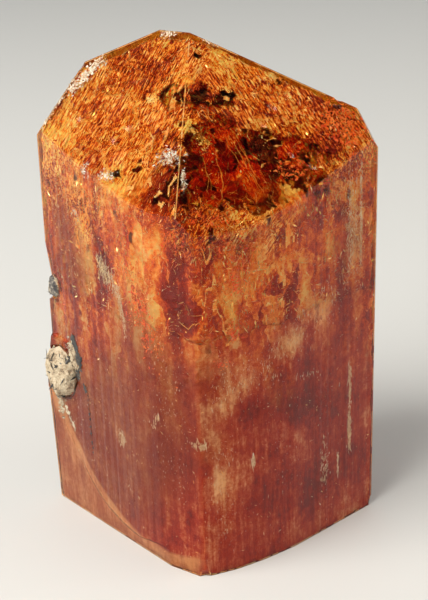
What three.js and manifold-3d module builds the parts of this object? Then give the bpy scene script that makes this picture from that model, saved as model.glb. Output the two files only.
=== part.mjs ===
// A rough topaz crystal: a striated orthorhombic prism on its flat basal cleavage, closed at the top
// by four pyramid faces and two dome faces, with chipped edges and two remnants of the host rock.
// Millimetres, +Z up. The origin is the middle of the base. The a axis runs along Y, b along X, c along Z.
import * as THREE from 'three';
import { mergeVertices } from 'three/addons/utils/BufferGeometryUtils.js';
import Module from 'manifold-3d';

const wasm = await Module();
wasm.setup();

// Driving dimensions of the prism, in plan
const halfWidth = 16.2;            // axis to the right prism edge
const halfDepth = 14.25;           // axis to the front and back prism edges
const blankHeight = 60;            // prism before its top is cut
const striationRelief = 0.04;      // how far a growth rib stands out of its face
const ribSpacing = 0.95;           // mean width of one rib

// Corners of the plan, anticlockwise from the right edge. Between two of them the face is ribbed.
const leftEdge = [-15.85, 0.2];
const planCorners = [
  [halfWidth, 0.1],
  [8.3, 8.9], [4.4, 12.3], [0.9, halfDepth], [-3.4, 12.1], [-8.9, 7.9],
  leftEdge,
  [-12.2, -3.85], [-8.65, -7.4], [-6.1, -10.05], [-3.85, -11.95], [0.2, -halfDepth],
  [3.2, -12.7], [5.8, -10.85], [8.6, -8.4],
];

// Faces of the crystal's end. Tilt is the angle between a face's normal and +Z, height is where
// its plane crosses the axis.
const pyramidTilt = 45.6;
const frontRightFace = { azimuth: -62.1, tilt: pyramidTilt, height: 46.5 };
const frontLeftFace = { azimuth: -119.2, tilt: pyramidTilt, height: 47.6 };
const backRightFace = { azimuth: 60, tilt: 42.4, height: 48.7 };
const backLeftFace = { azimuth: 108, tilt: pyramidTilt, height: 52.4 };
const rightDome = { azimuth: 0, tilt: 60, height: 65.7 };
const leftDome = { azimuth: 180, tilt: 55, height: 61.6 };
const endFaces = [frontRightFace, frontLeftFace, backRightFace, backLeftFace, rightDome, leftDome];

// The lower part of the left edge is thicker, under a steep shoulder
const thickEdge = {
  reach: [-16.65, 0.25],
  front: [-12.1, -3.75],
  back: [-12.6, 3.6],
  top: 18.7,
  shoulderTilt: 80,
};

// A notch in the left edge, as a profile of X and Z cut through along Y
const notchProfile = [[-15.9, 28.7], [-15.3, 25.2], [-15.3, 22.8], [-15.95, 22.3], [-19, 22.3], [-19, 28.7]];
const notchLength = 5;

// The fracture at the lower left: the curve of its edge on the face, as distance from the left edge and
// height, and the corner that closes the slab below the base. The slab lies deepest at the base, and its
// inner side slopes out towards the top by some degrees.
const spall = {
  edge: [
    [-2, 13.5], [0.9, 12.2], [2.4, 9.4], [4.3, 6.9], [6.6, 4.3], [9.6, 2.4], [13.5, 1.5],
    [18.5, 1.7], [20.4, -1],
  ],
  lowerCorner: [-2, -1],
  depth: 0.5,
  thickness: 3,
  slope: 2,
  faceAzimuth: -134.5,
};

// Chips: a place on an edge, the chip's half sizes and its turn about Z
const chips = [
  { at: [-12.3, 3.3, 45.0], size: [0.8, 1.0, 0.6], turn: -30 },
  { at: [-13.6, 1.7, 43.6], size: [0.7, 0.8, 0.5], turn: 10 },
  { at: [0.2, 1.3, 48.0], size: [0.45, 0.6, 0.3], turn: 15 },
  { at: [2.2, 1.3, 47.05], size: [0.6, 0.5, 0.25], turn: -20 },
  { at: [5.9, 1.4, 45.4], size: [0.5, 0.6, 0.3], turn: 35 },
  { at: [8.1, 1.4, 44.4], size: [0.7, 0.5, 0.25], turn: 5 },
  { at: [12.9, 1.4, 42.05], size: [0.8, 0.8, 0.4], turn: 50 },
  { at: [0.5, -14.6, 0], size: [0.9, 0.8, 1.1], turn: 12 },
  { at: [16.3, 0.2, 0], size: [0.5, 0.9, 1.2], turn: 8 },
  { at: [0.9, 14.5, 34.6], size: [1.2, 0.8, 1.5], turn: 0 },
  { at: [9.2, 8.6, 0], size: [1.7, 0.9, 0.9], turn: -44 },
  { at: [-8.6, 8.6, 36.6], size: [1.2, 0.8, 1.0], turn: 42 },
];

// Etch pits of the pyramid faces: where they lie, how many and how large. A pit is a six-sided cone,
// narrower up the slope than across it.
const pitDepth = 0.2;
const pitSides = 6;
const pitNarrowing = 0.7;
const pittedFaces = [
  { face: frontLeftFace, middle: [-8.4, -2.4], spread: [4.6, 3.2], count: 12, radius: [0.3, 0.8] },
  { face: backLeftFace, middle: [-7.0, 7.0], spread: [3.6, 1.6], count: 7, radius: [0.4, 1.0] },
  { face: backRightFace, middle: [4.8, 6.2], spread: [4.2, 3.0], count: 8, radius: [0.4, 1.0] },
  { face: frontRightFace, middle: [7.0, -3.0], spread: [4.0, 3.0], count: 5, radius: [0.3, 0.6] },
];

// Host rock left on the left edge: a patch in a shallow pocket, and a smaller fleck in the notch
const rockClearance = 0.3;
const lumpNearest = 0.86;          // least reach of a lump's corners, as a part of its half sizes
const lumpVariation = 0.2;         // and how much further a corner can reach
const rockPatch = { at: [-14.85, -1.1, 15.1], size: [2.3, 1.3, 2.75], turn: -46, seed: 5 };
const rockFleck = { at: [-15.0, -0.2, 23.9], size: [1.0, 0.75, 1.2], turn: -40, seed: 9 };

// A repeatable random number from 0 to 1
function makeRandom(seed) {
  let state = seed * 7919 + 17;
  return () => {
    state = (state * 1103515245 + 12345) % 2147483648;
    return state / 2147483648;
  };
}

const radians = THREE.MathUtils.degToRad;

function toSolid(geometry) {
  const bare = geometry.clone();
  bare.deleteAttribute('normal');
  bare.deleteAttribute('uv');
  const merged = mergeVertices(bare, 1e-4);
  return new wasm.Manifold(new wasm.Mesh({
    numProp: 3,
    vertProperties: new Float32Array(merged.attributes.position.array),
    triVerts: new Uint32Array(merged.index.array),
  }));
}

function toGeometry(solid) {
  const mesh = solid.getMesh();
  const geometry = new THREE.BufferGeometry();
  geometry.setAttribute('position', new THREE.BufferAttribute(mesh.vertProperties, 3));
  geometry.setIndex(new THREE.BufferAttribute(mesh.triVerts, 1));
  const flat = geometry.toNonIndexed();
  flat.computeVertexNormals();
  return flat;
}

function toShape(points) {
  return new THREE.Shape(points.map((point) => new THREE.Vector2(...point)));
}

function faceNormal(face) {
  const tilt = radians(face.tilt);
  const azimuth = radians(face.azimuth);
  const across = Math.sin(tilt);
  return new THREE.Vector3(across * Math.cos(azimuth), across * Math.sin(azimuth), Math.cos(tilt));
}

// The block on the outer side of a plane through a point, large enough to clear the whole blank
function outsideOf(point, normal) {
  const side = 4 * blankHeight;
  const block = new THREE.BoxGeometry(side, side, side);
  block.translate(0, 0, side / 2);
  block.applyQuaternion(new THREE.Quaternion().setFromUnitVectors(new THREE.Vector3(0, 0, 1), normal));
  block.translate(...point);
  return toSolid(block);
}

// Ribs between two corners of the plan: each has a crest that stands out of the straight face,
// somewhere in the middle half of the rib
function ribbedFace(from, to, random) {
  const start = new THREE.Vector2(...from);
  const along = new THREE.Vector2(...to).sub(start);
  const outward = new THREE.Vector2(along.y, -along.x).normalize();
  const ribs = Math.max(2, Math.round(along.length() / ribSpacing));
  const points = [start];
  for (let rib = 0; rib < ribs; rib += 1) {
    const crest = (rib + 0.3 + 0.5 * random()) / ribs;
    const relief = striationRelief * (0.3 + 0.7 * random());
    points.push(start.clone().addScaledVector(along, crest).addScaledVector(outward, relief));
    if (rib < ribs - 1) points.push(start.clone().addScaledVector(along, (rib + 1) / ribs));
  }
  return points;
}

function makePrism() {
  const random = makeRandom(3);
  const outline = planCorners.flatMap((corner, i) => {
    const next = planCorners[(i + 1) % planCorners.length];
    return ribbedFace(corner, next, random);
  });
  const shape = new THREE.Shape(outline);
  return toSolid(new THREE.ExtrudeGeometry(shape, { depth: blankHeight, bevelEnabled: false }));
}

// The thicker stretch of the left edge, under its shoulder
function makeThickEdge() {
  const wedge = toShape([thickEdge.reach, thickEdge.front, thickEdge.back]);
  const blade = new THREE.ExtrudeGeometry(wedge, { depth: thickEdge.top, bevelEnabled: false });
  const shoulder = faceNormal({ azimuth: 180, tilt: thickEdge.shoulderTilt });
  return toSolid(blade).subtract(outsideOf([...leftEdge, thickEdge.top], shoulder));
}

function makeNotch() {
  const notch = new THREE.ExtrudeGeometry(toShape(notchProfile), { depth: notchLength, bevelEnabled: false });
  notch.rotateX(Math.PI / 2);
  notch.translate(0, notchLength / 2, 0);
  return toSolid(notch);
}

// The slab broken off the lower left face
function makeSpall() {
  const [firstPoint, ...furtherPoints] = spall.edge.map((point) => new THREE.Vector2(...point));
  const outline = new THREE.Shape();
  outline.moveTo(firstPoint.x, firstPoint.y);
  outline.splineThru(furtherPoints);
  outline.lineTo(...spall.lowerCorner);
  const slab = new THREE.ExtrudeGeometry(outline, {
    depth: spall.thickness,
    bevelEnabled: false,
    curveSegments: 18,
  });
  slab.translate(0, 0, -spall.depth);
  slab.rotateX(radians(spall.slope));
  const azimuth = radians(spall.faceAzimuth);
  const outward = new THREE.Vector3(Math.cos(azimuth), Math.sin(azimuth), 0);
  const along = new THREE.Vector3(-outward.y, outward.x, 0);
  slab.applyMatrix4(new THREE.Matrix4().makeBasis(along, new THREE.Vector3(0, 0, 1), outward));
  slab.translate(...thickEdge.reach, 0);
  return toSolid(slab);
}

// A lump with irregular facets
function makeLump({ at, size, turn, seed }, grow = 0) {
  const random = makeRandom(seed);
  const ball = new THREE.IcosahedronGeometry(1, 1).deleteAttribute('normal').deleteAttribute('uv');
  const geometry = mergeVertices(ball);
  const corners = geometry.attributes.position;
  const corner = new THREE.Vector3();
  for (let i = 0; i < corners.count; i += 1) {
    corner.fromBufferAttribute(corners, i).multiplyScalar(lumpNearest + lumpVariation * random());
    corner.multiply(new THREE.Vector3(size[0] + grow, size[1] + grow, size[2] + grow));
    corners.setXYZ(i, corner.x, corner.y, corner.z);
  }
  geometry.rotateZ(radians(turn));
  geometry.translate(...at);
  return toSolid(geometry);
}

// Shallow pits scattered over a pyramid face
function makePits({ face, middle, spread, count, radius }, seed) {
  const random = makeRandom(seed);
  const normal = faceNormal(face);
  const turn = new THREE.Quaternion().setFromUnitVectors(new THREE.Vector3(0, 1, 0), normal);
  return Array.from({ length: count }, () => {
    const x = middle[0] + spread[0] * (2 * random() - 1);
    const y = middle[1] + spread[1] * (2 * random() - 1);
    const z = face.height - (normal.x * x + normal.y * y) / normal.z;
    const cone = { radius: 2 * THREE.MathUtils.lerp(...radius, random()), height: 2 * pitDepth };
    const pit = new THREE.ConeGeometry(cone.radius, cone.height, pitSides);
    pit.rotateX(Math.PI);
    pit.scale(1, 1, pitNarrowing);
    pit.applyQuaternion(turn);
    pit.translate(x, y, z);
    return toSolid(pit);
  });
}

function makeCrystal() {
  let crystal = makePrism().add(makeThickEdge());
  for (const face of endFaces) {
    crystal = crystal.subtract(outsideOf([0, 0, face.height], faceNormal(face)));
  }
  pittedFaces.forEach((place, i) => {
    for (const pit of makePits(place, 20 + i)) crystal = crystal.subtract(pit);
  });
  chips.forEach((chip, i) => {
    crystal = crystal.subtract(makeLump({ ...chip, seed: 40 + i }));
  });
  return crystal
    .subtract(makeNotch())
    .subtract(makeSpall())
    .subtract(makeLump(rockPatch, rockClearance))
    .subtract(makeLump(rockFleck, rockClearance));
}

function makeMesh(name, solid, color, roughness) {
  const material = new THREE.MeshStandardMaterial({ color, roughness, metalness: 0 });
  const mesh = new THREE.Mesh(toGeometry(solid), material);
  mesh.name = name;
  return mesh;
}

// The thick left edge reaches further than the right one, so the middle of the base lies left of the axis
const group = new THREE.Group();
group.position.x = -(thickEdge.reach[0] + halfWidth) / 2;
group.add(makeMesh('crystal', makeCrystal(), 0xa8431f, 0.15));
group.add(makeMesh('rock_patch', makeLump(rockPatch), 0xcfb48f, 0.9));
group.add(makeMesh('rock_fleck', makeLump(rockFleck), 0x6d6455, 0.9));

export default group;
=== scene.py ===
import math
import random
import bpy
import bmesh
from mathutils import Euler, Matrix, Vector, noise
from mathutils.bvhtree import BVHTree


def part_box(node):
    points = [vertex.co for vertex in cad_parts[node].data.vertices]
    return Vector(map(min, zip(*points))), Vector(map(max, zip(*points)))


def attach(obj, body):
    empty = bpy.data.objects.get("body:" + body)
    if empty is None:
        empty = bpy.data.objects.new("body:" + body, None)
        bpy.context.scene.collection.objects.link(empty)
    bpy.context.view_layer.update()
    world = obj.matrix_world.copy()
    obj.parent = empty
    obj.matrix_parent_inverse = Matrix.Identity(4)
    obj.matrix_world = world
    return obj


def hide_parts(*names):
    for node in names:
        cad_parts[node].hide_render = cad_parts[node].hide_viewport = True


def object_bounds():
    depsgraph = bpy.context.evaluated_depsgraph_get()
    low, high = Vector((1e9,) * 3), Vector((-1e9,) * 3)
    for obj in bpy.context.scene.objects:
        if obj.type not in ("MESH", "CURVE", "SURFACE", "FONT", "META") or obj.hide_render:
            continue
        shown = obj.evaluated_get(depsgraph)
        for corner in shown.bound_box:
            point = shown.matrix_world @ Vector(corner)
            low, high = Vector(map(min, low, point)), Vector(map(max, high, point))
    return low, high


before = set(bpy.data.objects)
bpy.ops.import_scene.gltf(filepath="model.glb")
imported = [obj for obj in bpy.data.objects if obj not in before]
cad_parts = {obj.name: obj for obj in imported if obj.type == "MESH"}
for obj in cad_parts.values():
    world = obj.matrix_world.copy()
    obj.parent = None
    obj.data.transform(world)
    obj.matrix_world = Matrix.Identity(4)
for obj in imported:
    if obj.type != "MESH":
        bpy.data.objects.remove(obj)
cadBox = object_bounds()
scene = bpy.context.scene
mm = 0.001


def note(text):
    print("scene:", text)


def clamp(value, low=0, high=1):
    return min(max(value, low), high)


def scatter(chance, *widths):
    return Vector([chance.gauss(0, width) for width in widths])


def anyTurn(chance):
    return chance.uniform(0, 2 * math.pi)


def addObject(name, data=None):
    item = bpy.data.objects.new(name, data)
    scene.collection.objects.link(item)
    return item


def readMesh(piece):
    mesh = bmesh.new()
    mesh.from_mesh(piece.data)
    return mesh


def writeMesh(mesh, data):
    mesh.to_mesh(data)
    mesh.free()


def makePiece(name, mesh):
    data = bpy.data.meshes.new(name)
    writeMesh(mesh, data)
    return addObject(name, data)


def pickOnly(piece):
    bpy.ops.object.select_all(action='DESELECT')
    piece.select_set(True)
    bpy.context.view_layer.objects.active = piece


def applyModifier(piece, kind, **values):
    pickOnly(piece)
    modifier = piece.modifiers.new(kind.lower(), kind)
    for key, value in values.items():
        setattr(modifier, key, value)
    bpy.ops.object.modifier_apply(modifier=modifier.name)


# a copy of a solid with its doubled corners merged, swollen by so much
def copySolid(node, name, swell=0):
    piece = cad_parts[node].copy()
    piece.data = piece.data.copy()
    piece.name = name
    scene.collection.objects.link(piece)
    pickOnly(piece)
    bpy.ops.object.mode_set(mode='EDIT')
    bpy.ops.mesh.select_all(action='SELECT')
    bpy.ops.mesh.remove_doubles(threshold=0.001 * mm)
    if swell:
        bpy.ops.transform.shrink_fatten(value=swell)
    bpy.ops.object.mode_set(mode='OBJECT')
    bpy.ops.mesh.customdata_custom_splitnormals_clear()
    return piece


def finishPiece(piece, material, slot="topaz", *nodes):
    piece.data.materials.clear()
    piece.data.materials.append(material)
    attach(piece, "root")
    if nodes:
        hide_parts(*nodes)
    count = sum(len(face.vertices) - 2 for face in piece.data.polygons)
    note(f"{piece.name}: {count} triangles")


# an input takes a value or another node's output
def feed(tree, socket, value):
    if isinstance(value, bpy.types.NodeSocket):
        tree.links.new(value, socket)
    else:
        socket.default_value = value


# settings and inputs go by name, and the first inputs by order
def addNode(tree, kind, *inputs, **values):
    node = tree.nodes.new("ShaderNode" + kind)
    for key, value in values.items():
        label = key.replace("_", " ")
        if label in node.inputs:
            feed(tree, node.inputs[label], value)
        else:
            setattr(node, key, value)
    for socket, value in zip(node.inputs, inputs):
        feed(tree, socket, value)
    return node


def addMath(operation, first, *others):
    return addNode(first.id_data, "Math", first, *others, operation=operation).outputs[0]


# a mask between two others
def addBlend(share, first, second):
    return addNode(first.id_data, "Mix", Factor=share, A=first, B=second).outputs["Result"]


def addRamp(source, stops):
    ramp = addNode(source.id_data, "ValToRGB", source)
    elements = ramp.color_ramp.elements
    while len(elements) < len(stops):
        elements.new(0.5)
    for element, (position, color) in zip(elements, stops):
        element.position = position
        element.color = (*color, 1)
    return ramp.outputs["Color"]


# a colour between two others
def addMix(share, first, second):
    mix = addNode(share.id_data, "Mix", share, data_type='RGBA')
    for socket, value in zip([socket for socket in mix.inputs if socket.type == 'RGBA'], (first, second)):
        feed(share.id_data, socket, value)
    return [socket for socket in mix.outputs if socket.type == 'RGBA'][0]


def startMaterial(name, **constants):
    material = bpy.data.materials.new(name)
    material.use_nodes = True
    tree = material.node_tree
    shader = tree.nodes["Principled BSDF"]
    for key, value in constants.items():
        shader.inputs[key.replace("_", " ")].default_value = value
    place = addNode(tree, "TexCoord").outputs["Object"]
    return material, tree, shader, place


# camera, floor and light

cameraSet = {
    "place": (0.01194, -0.116015, 0.067159),
    "turnLeft": 5.5,  # degrees about the vertical
    "lookDown": 21,
    "roll": -1.631,
    "lens": 76.5,
}


def makeCamera():
    data = bpy.data.cameras.new("camera")
    camera = addObject("camera", data)
    data.lens = cameraSet["lens"]
    data.sensor_width = 36
    data.clip_start = 0.01
    angles = (cameraSet["turnLeft"], 'Z'), (90 - cameraSet["lookDown"], 'X'), (cameraSet["roll"], 'Z')
    turn, tilt, roll = [Matrix.Rotation(math.radians(angle), 4, axis) for angle, axis in angles]
    camera.matrix_world = Matrix.Translation(cameraSet["place"]) @ turn @ tilt @ roll
    scene.camera = camera


studioSet = {
    "floorSize": 3,
    "floorDrop": 0.02 * mm,  # keeps the floor out of the plane of the base
    "floorColor": (0.6, 0.592, 0.57, 1),
    "floorRoughness": 0.6,
    # bright round the horizon and dark above: height on the unit sphere, colour
    "tent": [(0.45, (0.96, 0.97, 0.96)), (0.75, (0.05, 0.05, 0.05))],
    "worldStrength": 1,
    "aim": (0, 0, 0.02),
    # name, place, size, power, colour
    "lights": [("fill", (0.42, -0.06, 0.2), 0.35, 0.85, (1, 0.93, 0.82)),
               ("key", (-0.29, -0.25, 0.41), 0.4, 4.9, (1, 0.98, 0.93))],
}


def makeAreaLight(name, place, size, power, color):
    data = bpy.data.lights.new(name, 'AREA')
    data.size = size
    data.energy = power
    data.color = color
    lamp = addObject(name, data)
    lamp.location = place
    lamp.rotation_euler = (Vector(studioSet["aim"]) - Vector(place)).to_track_quat('-Z', 'Y').to_euler()


def makeStudio():
    drop = studioSet["floorDrop"]
    bpy.ops.mesh.primitive_plane_add(size=studioSet["floorSize"], location=(0, 0, -drop))
    bpy.ops.object.transform_apply(location=True, rotation=True, scale=True)
    floor = bpy.context.object
    floor.name = "floor"
    floor.data.materials.append(startMaterial("floor", Base_Color=studioSet["floorColor"],
                                              Roughness=studioSet["floorRoughness"])[0])
    for name, *row in studioSet["lights"]:
        makeAreaLight(name, *row)
    world = bpy.data.worlds.new("studio")
    scene.world = world
    world.use_nodes = True
    tree = world.node_tree
    background = tree.nodes["Background"]
    background.inputs["Strength"].default_value = studioSet["worldStrength"]
    sky = addNode(tree, "TexCoord").outputs["Generated"]
    height = addNode(tree, "SeparateXYZ", sky).outputs["Z"]
    tree.links.new(addRamp(height, studioSet["tent"]), background.inputs["Color"])
    scene.view_settings.view_transform = 'Standard'


makeCamera()
makeStudio()
note("camera and studio")


# shader groups that several materials share

def makeGroup(name, build, **inputs):
    group = bpy.data.node_groups.new(name, 'ShaderNodeTree')
    for label, value in {"Vector": (0, 0, 0), **inputs}.items():
        kind = 'NodeSocketVector' if isinstance(value, tuple) else 'NodeSocketFloat'
        group.interface.new_socket(name=label, in_out='INPUT', socket_type=kind).default_value = value
    given = group.nodes.new("NodeGroupInput").outputs
    masks = build(group, given["Vector"], *[given[label] for label in inputs])
    for label in masks:
        group.interface.new_socket(name=label, in_out='OUTPUT', socket_type='NodeSocketFloat')
    result = group.nodes.new("NodeGroupOutput").inputs
    for label, mask in masks.items():
        group.links.new(mask, result[label])
    return group


# cloudy spots with fine grain in them
def buildMottle(group, vector, size, grain):
    coarse = addNode(group, "TexNoise", vector, Scale=size, Detail=5, Roughness=0.62, Distortion=0.6)
    fine = addNode(group, "TexNoise", vector, Scale=addMath('MULTIPLY', size, 7), Detail=3, Roughness=0.7)
    return {"Mask": addBlend(grain, coarse.outputs["Fac"], fine.outputs["Fac"])}


# long streaks along one direction, as growth lines or fibres
def buildStreaks(group, vector, size, turn, length):
    scale = addNode(group, "CombineXYZ", 1, 1, length).outputs["Vector"]
    turned = addNode(group, "Mapping", vector, vector_type='TEXTURE', Rotation=turn, Scale=scale)
    lines = addNode(group, "TexNoise", turned.outputs["Vector"], Scale=size, Detail=4, Roughness=0.65)
    return {"Mask": lines.outputs["Fac"]}


# upright slabs: a random tone in each one, and their rims
def buildSlabs(group, vector, size, rimWidth):
    wander = addNode(group, "TexNoise", vector, Scale=700, Detail=3).outputs["Color"]
    shift = addNode(group, "VectorMath", wander, operation='SCALE', Scale=0.0022).outputs["Vector"]
    moved = addNode(group, "VectorMath", vector, shift, operation='ADD').outputs["Vector"]
    tall = addNode(group, "Mapping", moved, Scale=(1, 1, 0.3)).outputs["Vector"]
    cells = addNode(group, "TexVoronoi", tall, Scale=size).outputs["Color"]
    border = addNode(group, "TexVoronoi", tall, feature='DISTANCE_TO_EDGE', Scale=size).outputs["Distance"]
    return {"Mask": addNode(group, "SeparateColor", cells).outputs["Red"],
            "Rim": addNode(group, "MapRange", border, 0, rimWidth, 1, 0).outputs["Result"]}


# 0 below a height and 1 above it, with a ragged border
def buildHeightMask(group, vector, height, blend):
    wander = addNode(group, "TexNoise", vector, Scale=130, Detail=3).outputs["Fac"]
    total = addMath('ADD', addNode(group, "SeparateXYZ", vector).outputs["Z"],
                    addMath('MULTIPLY_ADD', wander, 0.024, -0.012))
    return {"Mask": addNode(group, "MapRange", total, addMath('SUBTRACT', height, blend),
                            addMath('ADD', height, blend), interpolation_type='SMOOTHSTEP').outputs["Result"]}


# 1 inside the core of a place and 0 past its radius
def buildZone(group, vector, place, core, radius):
    apart = addNode(group, "VectorMath", vector, place, operation='DISTANCE').outputs["Value"]
    return {"Mask": addNode(group, "MapRange", apart, core, radius, 1, 0,
                            interpolation_type='SMOOTHSTEP').outputs["Result"]}


mottle = makeGroup("mottle", buildMottle, Size=400.0, Grain=0.35)
streaks = makeGroup("streaks", buildStreaks, Size=1500, Turn=(0, 0, 0), Length=25)
slabs = makeGroup("slabs", buildSlabs, Size=600, RimWidth=0.05)
heightMask = makeGroup("height mask", buildHeightMask, Height=0.026, Blend=0.006)
zone = makeGroup("zone", buildZone, Place=(0, 0, 0), Core=0, Radius=0.003)


def addGroup(group, vector, **values):
    tree = vector.id_data
    return addNode(tree, "Group", node_tree=group, Vector=vector, **values).outputs["Mask"]


# streaks that run along a direction
def addFibres(vector, direction, size, length):
    turn = Vector(direction).to_track_quat('Z', 'Y').to_euler()
    return addGroup(streaks, vector, Size=size, Length=length, Turn=tuple(turn))


# a zone from its middle, core and radius in millimetres
def addPlace(vector, row):
    middle, core, radius = row
    return addGroup(zone, vector, Place=tuple(Vector(middle) * mm), Core=core * mm, Radius=radius * mm)


# a mask moved inside zones: rows of middle and radius in millimetres, and shift
def addZoneShifts(mask, vector, rows):
    for *middle, radius, shift in rows:
        mask = addMath('MULTIPLY_ADD', addPlace(vector, (middle, 0, radius)), shift, mask)
    return mask


def addBump(shader, height, strength, distance):
    bump = addNode(height.id_data, "Bump", Height=height, Strength=strength, Distance=distance)
    feed(height.id_data, shader.inputs["Normal"], bump.outputs["Normal"])


note("shader groups")


# the topaz itself

topazSet = {
    "ior": 1.62,
    "roughness": 0.05,
    "mirrorTint": (0.3, 0.29, 0.28, 1),  # how much of the light the skin mirrors
    "bodyColor": (0.968, 0.81, 0, 1),
    "bodyDensity": 400,
    "topStops": [(0.38, (0.94, 0.62, 0.3)), (0.48, (1, 0.88, 0.6)), (0.58, (1, 1, 0.9))],
    "lowStops": [(0.36, (0.8, 0.54, 0.34)), (0.47, (0.97, 0.84, 0.62)), (0.58, (1, 0.98, 0.85))],
    "topFrom": 24 * mm,
    "topBlend": 6 * mm,
    "fibreDirection": (0.43, 0.56, 0.71),
}


def makeTopazMaterial():
    material, tree, shader, place = startMaterial(
        "topaz", Roughness=topazSet["roughness"], IOR=topazSet["ior"],
        Specular_Tint=topazSet["mirrorTint"], Transmission_Weight=1)
    high = addGroup(heightMask, place, Height=topazSet["topFrom"], Blend=topazSet["topBlend"])
    growth = addGroup(streaks, place, Size=900, Length=30)
    fibres = addFibres(place, topazSet["fibreDirection"], 5000, 9)
    spots = addGroup(mottle, place, Size=300, Grain=0.5)
    color = addMix(high, addRamp(addBlend(0.4, growth, spots), topazSet["lowStops"]),
                   addRamp(addBlend(0.5, fibres, spots), topazSet["topStops"]))
    feed(tree, shader.inputs["Base Color"], color)
    addBump(shader, addBlend(high, growth, fibres), 0.4, 0.02 * mm)
    body = addNode(tree, "VolumeAbsorption", Color=topazSet["bodyColor"],
                   Density=topazSet["bodyDensity"])
    tree.links.new(body.outputs["Volume"], tree.nodes["Material Output"].inputs["Volume"])
    return material


topaz = copySolid("crystal", "topaz")
bpy.ops.object.shade_flat()
finishPiece(topaz, makeTopazMaterial(), "topaz", "crystal")
topazSurface = BVHTree.FromObject(topaz, bpy.context.evaluated_depsgraph_get())


# the nearest place on the crystal's skin, and the skin's direction there
def nearestSkin(point):
    return topazSurface.find_nearest(point)[:2]


# depth in the crystal, below 0 outside it: from inside, a line crosses an odd number of faces
def depthOf(point):
    distance = topazSurface.find_nearest(point)[3]
    direction = Vector((0.12, 0.07, 1)).normalized()
    crossings = 0
    hit = topazSurface.ray_cast(point, direction)[0]
    while hit is not None:
        crossings += 1
        hit = topazSurface.ray_cast(hit + direction * 0.001 * mm, direction)[0]
    return distance if crossings % 2 else -distance


# the fibres' direction on this half of the crystal
def fibresAt(point):
    return Vector(topazSet["fibreDirection"] if point.x < 0 else veilSet["rightDirection"])


def keepInBox(point):
    return Vector([clamp(*row) for row in zip(point, *cadBox)])


# healed cracks: crumpled veils that follow the crystal's shape at several depths

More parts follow.
